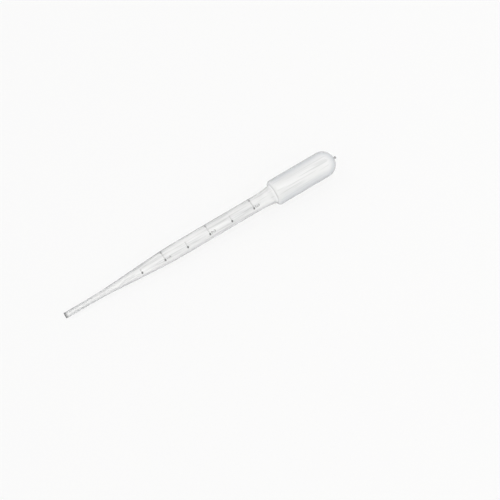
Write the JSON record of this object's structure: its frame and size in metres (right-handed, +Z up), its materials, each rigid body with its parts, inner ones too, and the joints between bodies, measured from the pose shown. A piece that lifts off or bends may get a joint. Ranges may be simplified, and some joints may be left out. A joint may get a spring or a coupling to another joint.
{
  "type": "dropper pipette",
  "caption": "Graduated dropper pipette of soft clear plastic, blown as one hollow piece: squeeze bulb, marked stem and long tapered open tip.",
  "frame": {"origin": "on the surface that the pipette lies on, below the middle of its box", "axes": "+X from the open tip towards the bulb, +Z up from the surface, marked face up and turned 33 degrees towards -Y"},
  "size_m": [0.155, 0.0132, 0.0144],
  "materials": {
    "clear_plastic": "translucent satin"
  },
  "bodies": {
    "root": {"pipette": "clear_plastic"}
  },
  "joints": []
}
